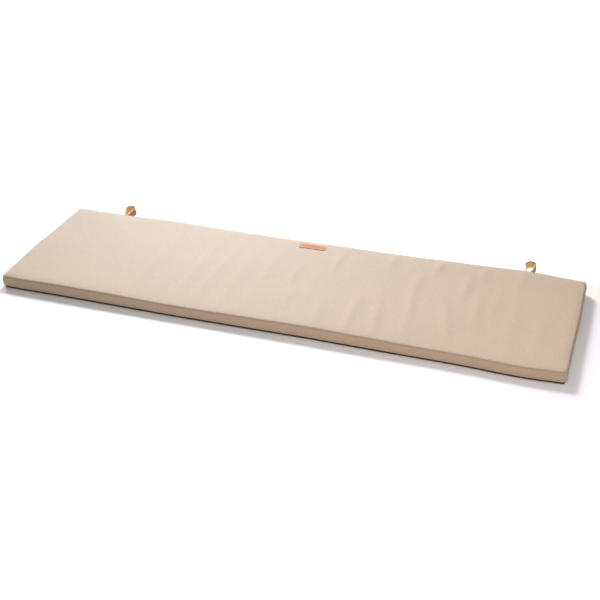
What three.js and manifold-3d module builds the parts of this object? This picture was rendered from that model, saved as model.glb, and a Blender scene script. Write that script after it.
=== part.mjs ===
// Long, thin, boxed seat cushion in canvas, with a leather label on its top panel and two
// leather strap loops on its back that go round the uprights of a seat.
// Millimetres. +X runs along the length, +Y to the back, +Z up.
// The origin is the centre of the flat underside.

import * as THREE from 'three';
import { mergeVertices } from 'three/addons/utils/BufferGeometryUtils.js';
import Module from 'manifold-3d';

const wasm = await Module();
wasm.setup();

// Driving dimensions of the cushion
const length = 1500; // between the two end seams
const depth = 445; // between the front and back seams
const boxing = 31; // width of the boxing strip, between its bottom and top seams
const underRise = 3.4; // bottom seam above the surface that the cushion lies on
const cornerRadius = 10; // upright corners, seen from above
const bulge = 2.6; // how far the boxing swells out half way up
const seamDepth = 1.8; // how far a seam is drawn in
const lip = 1.5; // cloth turned over on each side of a seam
const shoulderRise = 2.4; // rise of the top panel just inside its seam
const shoulderWidth = 7;
const crownRise = 1.6; // further rise towards the middle of the top panel
const restMargin = 20; // the underside is flat, and a plain rectangle, from here inwards
const cutGap = 0.3; // clearance between pieces that touch

// Leather label
const labelLength = 76;
const labelWidth = 26;
const labelThickness = 2.4;
const labelCorner = 4;
const labelAt = { x: -2, y: 185 };
const rivetSpacing = 56;
const rivetRadius = 2.6;
const rivetHeight = 1;

// Leather strap loops: a strap on edge, bent to a drop shape and sewn into the boxing
const strapWidth = 22; // upright
const strapThickness = 3;
const loopLength = 54; // from the boxing to the far end
const loopEndRadius = 13.1; // centre line of the strap round the far end
const loopNeck = 6; // between the centre lines of the two legs at the boxing
const loopPinch = 9; // length over which the two legs are sewn together
const loopsAt = { left: -602, right: 596 }; // places along the back
const loopRoot = underRise + 16; // middle of the strap above the surface, at the boxing
const loopRise = THREE.MathUtils.degToRad(13); // the loops point up a little
const loopLean = THREE.MathUtils.degToRad(6); // and lean to the left

// Places where the filled cloth stands out past its cut line, or where its top seam sags.
// at: place along the side, spread: reach each way, out and sag: how far
const sideWaves = [
  { side: 'front', at: -690, spread: 60, out: 0, sag: 1.5 },
  { side: 'front', at: -250, spread: 150, out: 2, sag: 2.0 },
  { side: 'front', at: 110, spread: 110, out: -1.5, sag: -0.8 },
  { side: 'front', at: 420, spread: 130, out: 0.5, sag: 2.4 },
  { side: 'front', at: 640, spread: 100, out: 7.5, sag: 2.6 },
  { side: 'back', at: -690, spread: 60, out: -3, sag: 0 },
  { side: 'back', at: -600, spread: 80, out: -2.5, sag: 1.0 },
  { side: 'back', at: -430, spread: 100, out: 1.5, sag: -0.6 },
  { side: 'back', at: -150, spread: 160, out: -2, sag: 0.8 },
  { side: 'back', at: 400, spread: 100, out: 3, sag: -1.2 },
  { side: 'back', at: 590, spread: 120, out: 8, sag: -3.2 },
  { side: 'left', at: -200, spread: 80, out: 3, sag: 0 },
  { side: 'left', at: -40, spread: 110, out: 7.5, sag: 0 },
  { side: 'left', at: 150, spread: 80, out: 2.5, sag: 0 },
  { side: 'right', at: 40, spread: 120, out: 2, sag: 0 },
];
const waveReach = 80; // how far inwards a wave of the side is felt

// Soft ridges that the loose top panel shows, running from front to back.
// x and y: middle of the ridge, across and along: half sizes, turn: degrees off the depth
const ridges = [
  { x: -390, y: 0, across: 13, along: 190, height: 0.6, turn: -2 },
  { x: -322, y: -130, across: 12, along: 60, height: 0.7, turn: 3 },
  { x: -266, y: -20, across: 12, along: 170, height: 0.7, turn: 0 },
  { x: -208, y: 0, across: 12, along: 190, height: 0.7, turn: -3 },
  { x: -144, y: -30, across: 12, along: 170, height: 0.6, turn: 0 },
  { x: -82, y: -40, across: 12, along: 150, height: 0.6, turn: -2 },
  { x: 12, y: -90, across: 12, along: 35, height: 0.9, turn: 0 },
  { x: -10, y: 10, across: 12, along: 60, height: 0.9, turn: 0 },
  { x: 52, y: -20, across: 12, along: 170, height: 0.4, turn: 0 },
  { x: 110, y: -155, across: 11, along: 50, height: 1.2, turn: 12 },
  { x: 190, y: -120, across: 12, along: 70, height: 1.5, turn: 3 },
  { x: 252, y: -110, across: 12, along: 90, height: 1.6, turn: 9 },
  { x: 324, y: -60, across: 12, along: 130, height: 1.3, turn: 7 },
  { x: 427, y: -90, across: 12, along: 85, height: 1.3, turn: 14 },
  { x: 490, y: -20, across: 12, along: 80, height: 1.2, turn: 5 },
  { x: 530, y: 10, across: 11, along: 60, height: 1.0, turn: 0 },
  { x: 444, y: 95, across: 12, along: 50, height: 1.4, turn: 0 },
  { x: 476, y: 165, across: 12, along: 40, height: 1.2, turn: 0 },
  { x: 586, y: -60, across: 13, along: 180, height: 0.6, turn: 1 },
  { x: 654, y: -90, across: 13, along: 90, height: 0.6, turn: 0 },
  { x: 82, y: 130, across: 11, along: 60, height: 1.2, turn: 0 },
  { x: 120, y: 140, across: 10, along: 50, height: 0.5, turn: -2 },
  { x: 226, y: 165, across: 12, along: 40, height: 1.3, turn: 6 },
  { x: 278, y: 165, across: 11, along: 35, height: 0.5, turn: 0 },
  { x: 318, y: 80, across: 12, along: 60, height: 0.9, turn: 2 },
  { x: 352, y: 168, across: 12, along: 35, height: 1.5, turn: 0 },
  { x: 574, y: 168, across: 12, along: 35, height: 0.9, turn: 0 },
];

// Grid of the cushion: lines close to its edges, as distances from the edge, then even ones
const edgeLines = [0, 3, 7, 12, 20, 34, 56];
const lengthLines = 116;
const depthLines = 18;

// Rows of the boxing from the bottom panel's lip to the top panel's lip:
// height above the bottom seam, and how far the cloth stands out
const boxingRows = [
  { height: -lip, out: 0 },
  { height: 0, out: -seamDepth },
  { height: lip, out: 0 },
  { height: boxing * 0.25, out: bulge * 0.75 },
  { height: boxing * 0.5, out: bulge },
  { height: boxing * 0.75, out: bulge * 0.75 },
  { height: boxing - lip, out: 0 },
  { height: boxing, out: -seamDepth },
  { height: boxing + lip, out: 0 },
];

const canvas = new THREE.MeshStandardMaterial({ color: 0xd9cbb9, roughness: 0.95, metalness: 0 });
const leather = new THREE.MeshStandardMaterial({ color: 0xc6935f, roughness: 0.6, metalness: 0 });
const copper = new THREE.MeshStandardMaterial({ color: 0xb8703f, roughness: 0.35, metalness: 1 });

const bell = (distance, spread) => Math.exp(-((distance / spread) ** 2));

// Place of one grid line, from minus half the span to plus half of it
function gridLine(index, lines, span) {
  const last = edgeLines.length - 1;
  if (index > lines / 2) {
    return -gridLine(lines - index, lines, span);
  }
  if (index <= last) {
    return edgeLines[index] - span / 2;
  }
  const share = (index - last) / (lines - 2 * last);
  return THREE.MathUtils.lerp(edgeLines[last] - span / 2, span / 2 - edgeLines[last], share);
}

// Rounds the upright corners, and gives the outward direction and the distance to the cut line
function plan(x, y) {
  const core = {
    x: THREE.MathUtils.clamp(x, cornerRadius - length / 2, length / 2 - cornerRadius),
    y: THREE.MathUtils.clamp(y, cornerRadius - depth / 2, depth / 2 - cornerRadius),
  };
  const dx = x - core.x;
  const dy = y - core.y;
  const reach = Math.hypot(dx, dy);
  if (reach === 0) {
    const inside = Math.min(length / 2 - Math.abs(x), depth / 2 - Math.abs(y));
    return { x, y, outX: 0, outY: 0, inside };
  }
  const radius = Math.max(Math.abs(dx), Math.abs(dy));
  return {
    x: core.x + (dx / reach) * radius,
    y: core.y + (dy / reach) * radius,
    outX: dx / reach,
    outY: dy / reach,
    inside: cornerRadius - radius,
  };
}

// Sum of the side waves at a place: shift in plan and drop of the top seam
function waveShift(x, y) {
  const sides = {
    front: { along: x, inside: depth / 2 + y, outX: 0, outY: -1 },
    back: { along: x, inside: depth / 2 - y, outX: 0, outY: 1 },
    left: { along: y, inside: length / 2 + x, outX: -1, outY: 0 },
    right: { along: y, inside: length / 2 - x, outX: 1, outY: 0 },
  };
  const shift = { x: 0, y: 0, sag: 0 };
  for (const wave of sideWaves) {
    const side = sides[wave.side];
    const share = bell(side.along - wave.at, wave.spread) * bell(side.inside, waveReach);
    shift.x += side.outX * wave.out * share;
    shift.y += side.outY * wave.out * share;
    shift.sag += wave.sag * share;
  }
  return shift;
}

function ridgeHeight(x, y) {
  let height = 0;
  for (const ridge of ridges) {
    const turn = THREE.MathUtils.degToRad(ridge.turn);
    const across = (x - ridge.x) * Math.cos(turn) + (y - ridge.y) * Math.sin(turn);
    const along = (y - ridge.y) * Math.cos(turn) - (x - ridge.x) * Math.sin(turn);
    height += ridge.height * bell(across, ridge.across) * bell(along, ridge.along);
  }
  return height;
}

// Height of the top panel above the surface that the cushion lies on
function topHeight(x, y) {
  const { inside } = plan(x, y);
  const shoulder = shoulderRise * (1 - Math.exp(-inside / shoulderWidth));
  const crown = crownRise * (1 - (2 * x / length) ** 4) * (1 - (2 * y / depth) ** 2);
  const ridge = ridgeHeight(x, y) * (1 - bell(inside, shoulderWidth));
  return underRise + boxing + lip + shoulder + crown + ridge - waveShift(x, y).sag;
}

// How much of the edge is left at a place on the underside: 1 at the seam, 0 where it rests
function edgeShare(place) {
  return THREE.MathUtils.clamp(1 - place.inside / restMargin, 0, 1);
}

// Height of the underside: flat where it rests, rising to the bottom seam near the edges
function underHeight(place) {
  return (underRise - lip) * edgeShare(place) ** 2;
}

// A copy of a geometry with one shared vertex at each point
function weld(geometry) {
  const bare = geometry.clone();
  bare.deleteAttribute('normal');
  bare.deleteAttribute('uv');
  return mergeVertices(bare);
}

// The filled cushion: a box grid whose points are moved to the sewn form
function cushionGeometry() {
  const rows = boxingRows.length - 1;
  const geometry = weld(new THREE.BoxGeometry(1, 1, 1, lengthLines, depthLines, rows));
  const points = geometry.getAttribute('position');
  for (let i = 0; i < points.count; i += 1) {
    const column = Math.round((points.getX(i) + 0.5) * lengthLines);
    const line = Math.round((points.getY(i) + 0.5) * depthLines);
    const level = Math.round((points.getZ(i) + 0.5) * rows);
    const place = plan(gridLine(column, lengthLines, length), gridLine(line, depthLines, depth));
    const shift = waveShift(place.x, place.y);
    const onRim = column % lengthLines === 0 || line % depthLines === 0;
    const row = boxingRows[level];
    const out = onRim ? row.out : 0;
    let wave = 1;
    let z = underRise + row.height - shift.sag * Math.max(row.height / boxing, 0);
    if (level === rows) {
      z = topHeight(place.x, place.y);
    } else if (level === 0) {
      wave = edgeShare(place);
      z = underHeight(place);
    }
    points.setXYZ(
      i,
      place.x + shift.x * wave + place.outX * out,
      place.y + shift.y * wave + place.outY * out,
      z,
    );
  }
  geometry.computeVertexNormals();
  return geometry;
}

// A closed three.js geometry as a solid that can be cut
function toSolid(geometry) {
  const welded = weld(geometry);
  return new wasm.Manifold(new wasm.Mesh({
    numProp: 3,
    vertProperties: welded.getAttribute('position').array,
    triVerts: Uint32Array.from(welded.index.array),
  }));
}

function toGeometry(solid) {
  const mesh = solid.getMesh();
  const geometry = new THREE.BufferGeometry();
  geometry.setAttribute('position', new THREE.BufferAttribute(mesh.vertProperties, 3));
  geometry.setIndex(new THREE.BufferAttribute(mesh.triVerts, 1));
  geometry.computeVertexNormals();
  return geometry;
}

// What is left of a piece outside the cushion, with the clearance measured along one direction
function clearOfCushion(piece, cushion, away) {
  const offset = away.clone().multiplyScalar(cutGap);
  const grown = cushion.add(cushion.translate([offset.x, offset.y, offset.z]));
  return toGeometry(toSolid(piece).subtract(grown));
}

// Height of the label's top face: it follows the top panel
function labelTop(x, y) {
  return topHeight(x, y) + cutGap + labelThickness;
}

// Rounded leather patch, laid on the top panel and cut to it
function labelGeometry(cushion) {
  const outline = new THREE.Shape();
  const halfLength = labelLength / 2;
  const halfWidth = labelWidth / 2;
  outline.moveTo(labelCorner - halfLength, -halfWidth);
  outline.lineTo(halfLength - labelCorner, -halfWidth);
  outline.absarc(halfLength - labelCorner, labelCorner - halfWidth, labelCorner, -Math.PI / 2, 0);
  outline.absarc(halfLength - labelCorner, halfWidth - labelCorner, labelCorner, 0, Math.PI / 2);
  outline.absarc(labelCorner - halfLength, halfWidth - labelCorner, labelCorner, Math.PI / 2, Math.PI);
  outline.absarc(labelCorner - halfLength, labelCorner - halfWidth, labelCorner, Math.PI, Math.PI * 1.5);
  const patch = new THREE.ExtrudeGeometry(outline, { depth: 1, bevelEnabled: false, curveSegments: 4 });
  const points = patch.getAttribute('position');
  const sunk = 6; // starts below the panel, and the cushion cuts it to its own form
  for (let i = 0; i < points.count; i += 1) {
    const x = points.getX(i) + labelAt.x;
    const y = points.getY(i) + labelAt.y;
    const top = labelTop(x, y);
    points.setXYZ(i, x, y, points.getZ(i) > 0.5 ? top : top - sunk);
  }
  return clearOfCushion(patch, cushion, new THREE.Vector3(0, 0, 1));
}

// Low domed rivet head, its flat side down
function rivetGeometry() {
  const dome = [
    new THREE.Vector2(0, 0),
    new THREE.Vector2(rivetRadius, 0),
    new THREE.Vector2(rivetRadius, rivetHeight * 0.4),
    new THREE.Vector2(rivetRadius * 0.7, rivetHeight * 0.85),
    new THREE.Vector2(0, rivetHeight),
  ];
  return new THREE.LatheGeometry(dome, 20).rotateX(Math.PI / 2);
}

// One side of a loop in plan, from the boxing round to the other leg. The legs are straight
// from the neck to where they touch the round end.
function dropPath(path, neckHalf, endRadius, start) {
  const centre = loopLength - loopEndRadius - strapThickness / 2;
  const span = Math.hypot(neckHalf, centre - start);
  const lead = Math.atan2(neckHalf, centre - start) - Math.asin(endRadius / span);
  path.moveTo(neckHalf, start);
  path.absarc(0, centre, endRadius, lead, Math.PI - lead, false);
  path.lineTo(-neckHalf, start);
  path.closePath();
}

// Strap loop with its foot at the boxing, in its own frame: +Y away from the cushion
function loopGeometry() {
  const outline = new THREE.Shape();
  const sunk = 8; // starts inside the cushion, which then cuts it to the boxing's form
  const outerNeck = (loopNeck + strapThickness) / 2;
  dropPath(outline, outerNeck, loopEndRadius + strapThickness / 2, -sunk);
  const hole = new THREE.Path();
  const innerNeck = (loopNeck - strapThickness) / 2;
  dropPath(hole, innerNeck, loopEndRadius - strapThickness / 2, loopPinch);
  outline.holes.push(hole);
  const strap = { depth: strapWidth, bevelEnabled: false, curveSegments: 28 };
  const geometry = new THREE.ExtrudeGeometry(outline, strap);
  geometry.translate(0, 0, -strapWidth / 2);
  geometry.rotateY(-loopLean);
  geometry.rotateX(loopRise);
  return geometry;
}

const part = new THREE.Group();

function addPiece(name, geometry, material) {
  const mesh = new THREE.Mesh(geometry, material);
  mesh.name = name;
  part.add(mesh);
  return mesh;
}

const cushionForm = cushionGeometry();
const cushionSolid = toSolid(cushionForm);
addPiece('cushion', cushionForm, canvas);
addPiece('label', labelGeometry(cushionSolid), leather);

for (const { name, side, x } of [
  { name: 'left', side: -1, x: loopsAt.left },
  { name: 'right', side: 1, x: loopsAt.right },
]) {
  const rivet = addPiece(`label_rivet_${name}`, rivetGeometry(), copper);
  const rivetX = labelAt.x + side * rivetSpacing / 2;
  rivet.position.set(rivetX, labelAt.y, labelTop(rivetX, labelAt.y) + cutGap);

  const shift = waveShift(x, depth / 2);
  const y = depth / 2 + shift.y + bulge;
  const z = loopRoot - shift.sag * (loopRoot - underRise) / boxing;
  const loop = loopGeometry().translate(x, y, z);
  addPiece(`loop_${name}`, clearOfCushion(loop, cushionSolid, new THREE.Vector3(0, 1, 0)), leather);
}

export default part;
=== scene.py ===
# %% [markdown]
# A long seat cushion for a sofa or bench, in pale woven canvas. A leather label lies on its top
# panel, and two leather strap loops on its back hold it to the uprights of the seat.
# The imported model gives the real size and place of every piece. This script gives the looks:
# filled cloth, seams, threads, leather, light and camera. All lengths are in metres.

import math

import bmesh
import bpy
import numpy as np
from mathutils import Matrix, Vector, noise


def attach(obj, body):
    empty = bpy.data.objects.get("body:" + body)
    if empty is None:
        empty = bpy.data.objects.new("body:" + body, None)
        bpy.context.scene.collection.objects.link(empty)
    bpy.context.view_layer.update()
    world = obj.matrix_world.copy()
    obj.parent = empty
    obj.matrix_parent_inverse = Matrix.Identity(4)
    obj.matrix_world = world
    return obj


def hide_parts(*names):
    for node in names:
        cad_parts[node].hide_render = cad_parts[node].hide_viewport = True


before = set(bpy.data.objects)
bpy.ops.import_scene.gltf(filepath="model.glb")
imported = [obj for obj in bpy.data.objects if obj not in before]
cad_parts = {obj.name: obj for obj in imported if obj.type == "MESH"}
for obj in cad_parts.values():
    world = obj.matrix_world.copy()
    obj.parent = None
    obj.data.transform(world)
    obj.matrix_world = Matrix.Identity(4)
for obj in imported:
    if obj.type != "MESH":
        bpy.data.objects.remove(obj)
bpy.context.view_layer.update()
print("nodes:", sorted(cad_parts))

# %% [markdown]
# The camera. The perspective of the photograph gives the camera's place, its turn and its lens.
# They were fitted to about two hundred points along the cushion's edges, for a cushion that is
# taken to be 445 mm deep. The lens is fairly long: it sees only about 31 degrees.

# %% Camera
CAMERA_LENS = 65.83
CAMERA_AT = (0.8257, -2.4218, 1.4779)
CAMERA_TURN = (59.503, 0.239, 18.236)


def new_object(name, data):
    """An object with this data, linked into the scene."""
    made = bpy.data.objects.new(name, data)
    bpy.context.scene.collection.objects.link(made)
    return made


camera_data = bpy.data.cameras.new("photo_camera")
camera_data.lens = CAMERA_LENS
camera_data.sensor_width = 36
camera = new_object("photo_camera", camera_data)
camera.location = CAMERA_AT
camera.rotation_euler = tuple(math.radians(turn) for turn in CAMERA_TURN)
bpy.context.scene.camera = camera
print("camera at", tuple(round(value, 3) for value in camera.location))

# %% [markdown]
# The cushion is cut from three kinds of panel: a top panel, a bottom panel, and a long narrow
# boxing strip that goes round between them. The panels are sewn inside out, turned, and filled
# with a slab of foam. So the seams are drawn in, the boxing swells out a little between them,
# and the top panel rises over its own seam allowance and then runs nearly flat.

# %% Cut sizes of the cushion
LENGTH = 1.500
DEPTH = 0.445
BOXING = 0.031
SEAM_RISE = 0.0034
CORNER = 0.010
REST_MARGIN = 0.020
LIP = 0.0015
TOP_SEAM_DEPTH = 0.0008
LOW_SEAM_DEPTH = 0.0018
LOW_SEAM_LIFT = 0.0022
BULGE = 0.0026
print("boxing runs", round(2 * (LENGTH + DEPTH), 2), "m round the cushion")

# %% [markdown]
# The sides are not straight. Where the seat's foam pushes, a side stands out, and the top seam
# sags or lifts. Each line below is one such wave: the side, its place along the side, its
# reach, how far it stands out, and how far the top seam sags there.

# %% Waves of the sides
SIDE_WAVES = (
    ("front", -0.690, 0.060, 0.0, 0.0015),
    ("front", -0.250, 0.150, 0.002, 0.0020),
    ("front", 0.110, 0.110, -0.0015, -0.0008),
    ("front", 0.420, 0.130, 0.0005, 0.0024),
    ("front", 0.640, 0.100, 0.0075, 0.0026),
    ("back", -0.690, 0.060, -0.003, 0.0),
    ("back", -0.600, 0.080, -0.0025, 0.0010),
    ("back", -0.430, 0.100, 0.0015, -0.0006),
    ("back", -0.150, 0.160, -0.002, 0.0008),
    ("back", 0.400, 0.100, 0.003, -0.0012),
    ("back", 0.590, 0.120, 0.008, -0.0032),
    ("left", -0.200, 0.080, 0.003, 0.0),
    ("left", -0.040, 0.110, 0.0075, 0.0),
    ("left", 0.150, 0.080, 0.0025, 0.0),
    ("right", 0.040, 0.120, 0.002, 0.0),
)
WAVE_REACH = 0.080


def bell(distance, spread):
    return np.exp(-((distance / spread) ** 2))


def side_waves(x, y):
    """Shift of the cloth in x and y, and sag of the top seam."""
    sides = {
        "front": (x, DEPTH / 2 + y, 0, -1),
        "back": (x, DEPTH / 2 - y, 0, 1),
        "left": (y, LENGTH / 2 + x, -1, 0),
        "right": (y, LENGTH / 2 - x, 1, 0),
    }
    shift_x, shift_y, sag = np.zeros((3, len(x)))
    for side, at, spread, out, drop in SIDE_WAVES:
        along, inside, out_x, out_y = sides[side]
        share = bell(along - at, spread) * bell(inside, WAVE_REACH)
        shift_x += out_x * out * share
        shift_y += out_y * out * share
        sag += drop * share
    return shift_x, shift_y, sag


print(len(SIDE_WAVES), "side waves")

# %% [markdown]
# Loose cloth over foam lies in low ridges. Here they run from front to back, and the light
# from the back left shows them. Each line is one ridge: middle, half width, half length, height,
# and how many degrees it turns off the straight line from front to back. Every ridge fades out
# over the last centimetre before the edge.

# %% Ridges of the top panel
RIDGES = (
    (-0.386, -0.010, 0.013, 0.240, 0.0017, -2),
    (-0.318, -0.130, 0.012, 0.060, 0.0019, 3),
    (-0.262, -0.030, 0.012, 0.220, 0.0021, 0),
    (-0.204, -0.010, 0.012, 0.240, 0.0021, -3),
    (-0.140, -0.030, 0.012, 0.220, 0.0018, 0),
    (-0.078, -0.040, 0.012, 0.190, 0.0018, -2),
    (0.022, -0.090, 0.012, 0.035, 0.0028, 0),
    (0.000, 0.010, 0.012, 0.060, 0.0037, 0),
    (0.062, -0.020, 0.012, 0.170, 0.0012, 0),
    (0.120, -0.155, 0.011, 0.055, 0.0039, 12),
    (0.200, -0.130, 0.012, 0.080, 0.0042, 3),
    (0.262, -0.120, 0.012, 0.095, 0.0043, 9),
    (0.334, -0.060, 0.012, 0.130, 0.0034, 7),
    (0.437, -0.100, 0.012, 0.090, 0.0033, 14),
    (0.500, -0.020, 0.012, 0.080, 0.0029, 5),
    (0.540, 0.010, 0.011, 0.060, 0.0023, 0),
    (0.454, 0.095, 0.012, 0.050, 0.0034, 0),
    (0.486, 0.165, 0.012, 0.040, 0.0029, 0),
    (0.596, -0.070, 0.013, 0.180, 0.0017, 1),
    (0.664, -0.090, 0.013, 0.090, 0.0014, 0),
    (0.092, 0.120, 0.011, 0.065, 0.0037, 0),
    (0.130, 0.140, 0.010, 0.050, 0.0012, -2),
    (0.236, 0.165, 0.012, 0.040, 0.0037, 6),
    (0.288, 0.165, 0.011, 0.035, 0.0012, 0),
    (0.328, 0.080, 0.012, 0.060, 0.0022, 2),
    (0.362, 0.168, 0.012, 0.035, 0.0039, 0),
    (0.584, 0.168, 0.012, 0.035, 0.0022, 0),
)
RIDGE_FADE = 0.007


def ridge_height(x, y, inside):
    """Height of the ridges at each point; inside is its distance from the panel's edge."""
    height = np.zeros(len(x))
    for mid_x, mid_y, across, along, rise, turn in RIDGES:
        cosine = math.cos(math.radians(turn))
        sine = math.sin(math.radians(turn))
        over = (x - mid_x) * cosine + (y - mid_y) * sine
        down = (y - mid_y) * cosine - (x - mid_x) * sine
        height += rise * bell(over, across) * bell(down, along)
    return height * (1 - bell(inside, RIDGE_FADE))


print(len(RIDGES), "ridges")

# %% [markdown]
# The cloth starts as a cube that subdivide_edges cuts into an even grid, one direction at a
# time. A voxel remesh would lose the seams, so this grid is used for the cloth simulation as it
# is: its rows follow the seams, and its columns follow the threads of the real cloth.

# %% Grid of the cover
EDGE_LINES = (0, 0.0012, 0.003, 0.0052, 0.0072, 0.0092, 0.012, 0.0165, 0.023, 0.031)
LENGTH_LINES = 176
DEPTH_LINES = 54
BOXING_ROWS = (
    (LOW_SEAM_LIFT - LIP, 0),
    (LOW_SEAM_LIFT, -LOW_SEAM_DEPTH),
    (LOW_SEAM_LIFT + LIP, 0),
    (0.0060, 0.0010),
    (0.0098, 0.0020),
    (0.0160, BULGE),
    (0.0225, 0.0020),
    (0.0268, 0.0010),
    (BOXING - LIP, 0),
    (BOXING, -TOP_SEAM_DEPTH),
    (BOXING + LIP, 0),
)
TOP_LEVEL = len(BOXING_ROWS) - 1

cover_cloth = bmesh.new()
bmesh.ops.create_cube(cover_cloth, size=1.0)
for axis, lines in enumerate((LENGTH_LINES, DEPTH_LINES, TOP_LEVEL)):
    along_axis = [
        edge
        for edge in cover_cloth.edges
        if abs((edge.verts[0].co - edge.verts[1].co)[axis]) > 0.5
    ]
    bmesh.ops.subdivide_edges(
        cover_cloth, edges=along_axis, cuts=lines - 1, use_grid_fill=True
    )
print("cover grid:", len(cover_cloth.faces), "faces")

# %% [markdown]
# Each grid point now gets its place on the real cushion. The lines lie close together near the
# edges, where the cloth turns over, and the upright corners are rounded.

# %% Places of the grid lines
def grid_places(lines, span):
    last = len(EDGE_LINES) - 1
    middle = np.linspace(EDGE_LINES[last] - span / 2, 0, lines // 2 - last + 1)
    half = np.concatenate([np.array(EDGE_LINES[:last]) - span / 2, middle])
    return np.concatenate([half, -half[-2::-1]])


def cut_line(x, y):
    """Rounds the corners: place, outward direction and distance inside the cut line."""
    core_x = np.clip(x, CORNER - LENGTH / 2, LENGTH / 2 - CORNER)
    core_y = np.clip(y, CORNER - DEPTH / 2, DEPTH / 2 - CORNER)
    off_x = x - core_x
    off_y = y - core_y
    reach = np.hypot(off_x, off_y)
    radius = np.maximum(abs(off_x), abs(off_y))
    safe = np.where(reach > 0, reach, 1)
    out_x = off_x / safe
    out_y = off_y / safe
    straight = np.minimum(LENGTH / 2 - abs(x), DEPTH / 2 - abs(y))
    inside = np.where(reach > 0, CORNER - radius, straight)
    return core_x + out_x * radius, core_y + out_y * radius, out_x, out_y, inside


unit = np.array([vertex.co for vertex in cover_cloth.verts]) + 0.5
column = np.rint(unit[:, 0] * LENGTH_LINES).astype(int)
line = np.rint(unit[:, 1] * DEPTH_LINES).astype(int)
level = np.rint(unit[:, 2] * TOP_LEVEL).astype(int)
flat_x = grid_places(LENGTH_LINES, LENGTH)[column]
flat_y = grid_places(DEPTH_LINES, DEPTH)[line]
place_x, place_y, out_x, out_y, inside = cut_line(flat_x, flat_y)
on_rim = (column % LENGTH_LINES == 0) | (line % DEPTH_LINES == 0)
print("middle cells are", round(np.diff(np.unique(flat_x))[LENGTH_LINES // 2] * 1000, 1), "mm long")

# %% [markdown]
# The top panel as it leaves the sewing machine: it climbs over the seam allowance that is
# folded in below it, dips behind that, and runs on flat. The simulation adds the crown.

# %% Heights of the panels
WELT_RISE = 0.0024
WELT_ROUND = 0.0020
WELT_WIDTH = 0.0078
WELT_DIP = 0.0003
WELT_DIP_REACH = 0.0021


def top_start(inside):
    climb = WELT_RISE * (1 - np.exp(-inside / WELT_ROUND))
    dip = WELT_DIP * bell(inside - WELT_WIDTH, WELT_DIP_REACH)
    return SEAM_RISE + BOXING + LIP + climb - dip


def edge_share(inside):
    return np.clip(1 - inside / REST_MARGIN, 0, 1)


UNDER_TUCK = 0.0012
UNDER_LIFT = 0.0004

shift_x, shift_y, sag = side_waves(place_x, place_y)
row_height, row_out = np.array(BOXING_ROWS)[level].T
tuck = -UNDER_TUCK * np.clip(1 - inside / CORNER, 0, 1)
out = np.where(level == 0, tuck, np.where(on_rim, row_out, 0))
wave = np.where(level == 0, edge_share(inside), 1)
height = SEAM_RISE + row_height - sag * np.clip(row_height / BOXING, 0, None)
height = np.where(level == TOP_LEVEL, top_start(inside) - sag, height)
height = np.where(level == 0, UNDER_LIFT * edge_share(inside) ** 2, height)
sewn = np.stack(
    [place_x + shift_x * wave + out_x * out, place_y + shift_y * wave + out_y * out, height],
    axis=1,
)
print("start thickness", round(float(height.max()) * 1000, 1), "mm")

# %% [markdown]
# The weave has to follow the cloth, so each panel gets its own flat map, in metres, taken from
# the cut pieces before they are moved. The strip's map runs along it and up it. Faces of the
# boxing wear a slot of their own, so that they can carry painted shade: a darker tone than the
# panels'.
# The number "shade" is darkness painted into the cloth's colour where the photograph has a dark
# line: a little at the top seam, and most of it at the foot, where the cushion meets the seat.

# %% Map and slots of the cloth
FOLD_REACH = 0.0035
FOOT_REACH = 3 * FOLD_REACH
TOP_FOLD_SHADE = 0.22
FOOT_SHADE = 0.88

thread_map = cover_cloth.loops.layers.uv.new("threads")
seam_mark = cover_cloth.verts.layers.int.new("seam")
shade_mark = cover_cloth.verts.layers.float.new("shade")
shade = np.where(level == TOP_LEVEL, TOP_FOLD_SHADE * bell(inside, FOLD_REACH), 0)
shade = np.where(level == 0, FOOT_SHADE * bell(inside, FOOT_REACH), shade)
shade = np.where(level == 1, FOOT_SHADE, shade)
cover_cloth.verts.ensure_lookup_table()
strip_height = np.array([row[0] for row in BOXING_ROWS])
for face in cover_cloth.faces:
    side = max(range(3), key=lambda axis: abs(face.normal[axis]))
    face.material_index = 0 if side == 2 else 1
    face.smooth = True
    for corner in face.loops:
        spot = corner.vert.index
        across = flat_y[spot] if side != 1 else flat_x[spot]
        flat = (flat_x[spot], flat_y[spot]) if side == 2 else (across, strip_height[level[spot]])
        corner[thread_map].uv = flat
for vertex in cover_cloth.verts:
    spot = vertex.index
    if on_rim[spot] and level[spot] in (1, TOP_LEVEL - 1):
        vertex[seam_mark] = 1 if level[spot] == 1 else 2
    vertex[shade_mark] = shade[spot]
    vertex.co = sewn[spot]
print("seam points:", sum(vertex[seam_mark] > 0 for vertex in cover_cloth.verts))

# %% [markdown]
# Filling the cover. Air pressure inside the cloth stands for the foam, which pushes everywhere
# alike. The seams are pinned, because their thread holds them, so the panels rise between them.
# Foam stops cloth from ballooning, so no point may move further than FOAM_GIVE.

# %% Cloth simulation
FOAM_GIVE = 0.0013
FOAM_PRESSURE = 4.0
STEPS = 20

cover_mesh = bpy.data.meshes.new("cushion_cover")
cover_cloth.to_mesh(cover_mesh)
cover_cloth.free()
cover = new_object("cushion_cover", cover_mesh)
seam_of = np.zeros(len(cover_mesh.vertices), int)
cover_mesh.attributes["seam"].data.foreach_get("value", seam_of)
pins = cover.vertex_groups.new(name="seam_thread")
pins.add([int(spot) for spot in np.nonzero(seam_of)[0]], 1.0, "REPLACE")


def soft_limit(moves, limit):
    """Shortens each move smoothly, so that none is longer than limit."""
    size = np.linalg.norm(moves, axis=1, keepdims=True)
    return moves * limit * np.tanh(size / limit) / np.maximum(size, 1e-9)


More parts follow.
